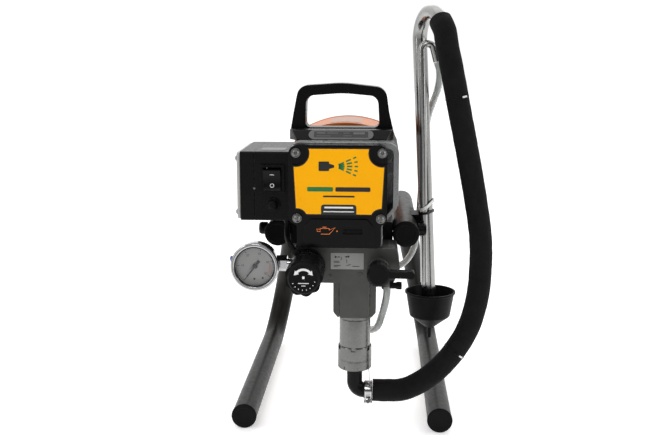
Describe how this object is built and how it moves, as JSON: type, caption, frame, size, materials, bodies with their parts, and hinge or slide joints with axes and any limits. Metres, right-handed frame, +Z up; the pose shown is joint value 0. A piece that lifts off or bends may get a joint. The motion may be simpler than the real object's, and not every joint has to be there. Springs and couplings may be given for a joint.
{
  "type": "airless paint sprayer",
  "caption": "Electric airless paint sprayer: geared motor and crank drive a piston pump on a two-tube skid frame, with siphon hose, gauge and controls.",
  "frame": {"origin": "on the floor under the middle of the machine's outline, its two free hoses left out", "axes": "+Z up, -Y towards the side with the gauge and knob, +X to the right of someone facing that side"},
  "size_m": [0.2992, 0.4807, 0.494],
  "materials": {
    "frame_paint": "dark gunmetal satin powder coat",
    "black_plastic": "satin moulded",
    "cast_silver": "silver painted casting",
    "panel_yellow": "printed film",
    "shell_orange": "moulded",
    "box_paint": "black textured paint on sheet",
    "manifold_paint": "grey coated casting",
    "steel": "machined",
    "chrome": "polished",
    "plate_grey": "light grey sheet",
    "clear": "clear",
    "foam": "black foam sleeve over hose",
    "drain_clear": "clear vinyl hose",
    "copper": "wound core",
    "packing": "leather and plastic packings"
  },
  "bodies": {
    "machine": {"frame_tube_left": "frame_paint", "frame_tube_right": "frame_paint", "top_cap_left": "black_plastic", "top_cap_right": "black_plastic", "foot_cap_left": "black_plastic", "foot_cap_right": "black_plastic", "bracket_left": "black_plastic", "bracket_right": "black_plastic", "frame_bolt_left": "black_plastic", "frame_bolt_right": "black_plastic", "armature_bearing_front": "steel", "crank_bearing": "steel", "motor_shell": "shell_orange", "stator": "steel", "motor_end_cover": "black_plastic", "drive_housing": "cast_silver", "front_cover": "black_plastic", "face_panel": "panel_yellow", "cover_screw_1": "steel", "cover_screw_2": "steel", "cover_screw_3": "steel", "cover_screw_4": "steel", "carry_handle": "black_plastic", "control_box": "box_paint", "box_cover": "box_paint", "box_end_plate": "plate_grey", "mains_gland": "black_plastic", "switch_bezel": "black_plastic", "manifold": "manifold_paint", "packing_nut": "steel", "rod_packing": "packing", "pump_cylinder": "steel", "foot_valve_nut": "steel", "inlet_seat": "steel", "inlet_elbow": "black_plastic", "hose_clamp": "chrome", "control_housing": "black_plastic", "control_cable": "black_plastic", "gauge_case": "chrome", "gauge_glass": "clear", "prime_valve_body": "steel", "outlet_fitting": "steel", "suction_tube": "steel", "return_tube": "steel", "tube_clip": "black_plastic", "drip_cup": "black_plastic", "suction_hose": "foam", "drain_hose": "drain_clear"},
    "armature": {"armature": "copper"},
    "middle_gear": {"middle_gear": "steel"},
    "crank": {"crank_gear": "steel"},
    "connecting_rod": {"connecting_rod": "steel"},
    "piston": {"piston_rod": "steel"},
    "outlet_ball": {"outlet_ball": "steel"},
    "inlet_ball": {"inlet_ball": "steel"},
    "rocker": {"rocker": "black_plastic"},
    "reset_button": {"reset_button": "black_plastic"},
    "pressure_knob": {"pressure_knob": "black_plastic"},
    "prime_lever": {"prime_lever": "black_plastic"},
    "gauge_needle": {"gauge_needle": "black_plastic"}
  },
  "joints": [
    {"name": "armature_spin", "type": "hinge", "parent": "machine", "child": "armature", "pos_m": [-0.0015, 0.0127, 0.305], "axis": [0, 1, 0], "continuous": true},
    {"name": "middle_gear_spin", "type": "hinge", "parent": "machine", "child": "middle_gear", "pos_m": [-0.024, -0.1223, 0.29008], "axis": [0, 1, 0], "continuous": true},
    {"name": "crank_spin", "type": "hinge", "parent": "machine", "child": "crank", "pos_m": [0.015, -0.1368, 0.29], "axis": [0, 1, 0], "continuous": true},
    {"name": "crank_pin_pivot", "type": "hinge", "parent": "crank", "child": "connecting_rod", "pos_m": [0.015, -0.1473, 0.278], "axis": [0, 1, 0], "continuous": true},
    {"name": "piston_stroke", "type": "slide", "parent": "machine", "child": "piston", "axis": [0, 0, 1], "range_m": [0, 0.024]},
    {"name": "outlet_ball_lift", "type": "slide", "parent": "piston", "child": "outlet_ball", "axis": [0, 0, 1], "range_m": [0, 0.004]},
    {"name": "inlet_ball_lift", "type": "slide", "parent": "machine", "child": "inlet_ball", "axis": [0, 0, 1], "range_m": [0, 0.0035]},
    {"name": "rocker_tilt", "type": "hinge", "parent": "machine", "child": "rocker", "pos_m": [-0.0747, -0.1653, 0.307], "axis": [-1, 0, 0], "range_deg": [0, 16]},
    {"name": "reset_button_press", "type": "slide", "parent": "machine", "child": "reset_button", "axis": [0, 1, 0], "range_m": [0, 0.003], "stiffness_N_per_m": 300},
    {"name": "pressure_knob_turn", "type": "hinge", "parent": "machine", "child": "pressure_knob", "pos_m": [-0.0355, -0.2123, 0.2145], "axis": [0, 1, 0], "range_deg": [0, 270]},
    {"name": "prime_lever_turn", "type": "hinge", "parent": "machine", "child": "prime_lever", "pos_m": [0.0408, -0.2073, 0.2132], "axis": [0, 1, 0], "range_deg": [0, 90]},
    {"name": "gauge_needle_swing", "type": "hinge", "parent": "machine", "child": "gauge_needle", "pos_m": [-0.0944, -0.1716, 0.2108], "axis": [0, 1, 0], "range_deg": [0, 270], "stiffness_Nm_per_rad": 0.002}
  ],
  "couplings": [
    {"joint": "middle_gear_spin", "follows": "armature_spin", "ratio": -0.28571},
    {"joint": "crank_spin", "follows": "armature_spin", "ratio": 0.095238},
    {"joint": "crank_pin_pivot", "follows": "armature_spin", "ratio": -0.095238}
  ]
}
